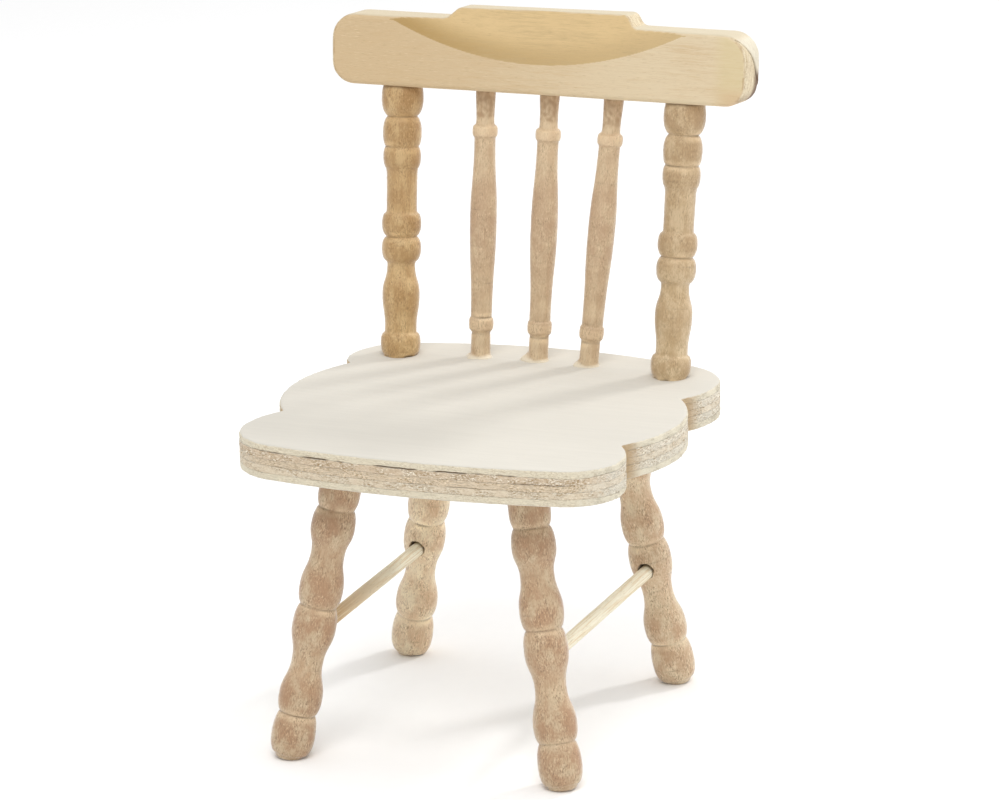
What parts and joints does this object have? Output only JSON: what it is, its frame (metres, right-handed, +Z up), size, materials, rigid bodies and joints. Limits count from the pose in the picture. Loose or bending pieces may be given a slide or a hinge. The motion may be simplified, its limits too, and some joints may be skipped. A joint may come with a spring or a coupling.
{
  "type": "miniature spindle-back chair",
  "caption": "Doll's-house side chair in bare wood: notched plywood seat, turned splayed legs with side stretchers, turned posts and spindles under a scooped crest rail.",
  "frame": {"origin": "on the floor, at the centre of the chair's plan", "axes": "+Z up; the chair faces -Y; +X is to the right as seen from the front"},
  "size_m": [0.0616, 0.0594, 0.0955],
  "materials": {
    "face_veneer": "bare sanded veneer, matte",
    "crossband": "sawn end grain, matte",
    "core_veneer": "sawn long grain, matte",
    "rail_wood": "bare sanded wood, matte",
    "post_wood": "bare turned wood, matte",
    "spindle_wood": "bare turned wood, matte",
    "leg_wood": "bare turned wood, matte",
    "dowel_wood": "bare dowel, matte"
  },
  "bodies": {
    "root": {"seat_bottom_veneer": "face_veneer", "seat_lower_crossband": "crossband", "seat_core": "core_veneer", "seat_upper_crossband": "crossband", "seat_top_veneer": "face_veneer", "crest_rail": "rail_wood", "back_post_left": "post_wood", "back_post_right": "post_wood", "spindle_left": "spindle_wood", "spindle_centre": "spindle_wood", "spindle_right": "spindle_wood", "leg_front_left": "leg_wood", "leg_front_right": "leg_wood", "leg_back_left": "leg_wood", "leg_back_right": "leg_wood", "stretcher_left": "dowel_wood", "stretcher_right": "dowel_wood"}
  },
  "joints": []
}
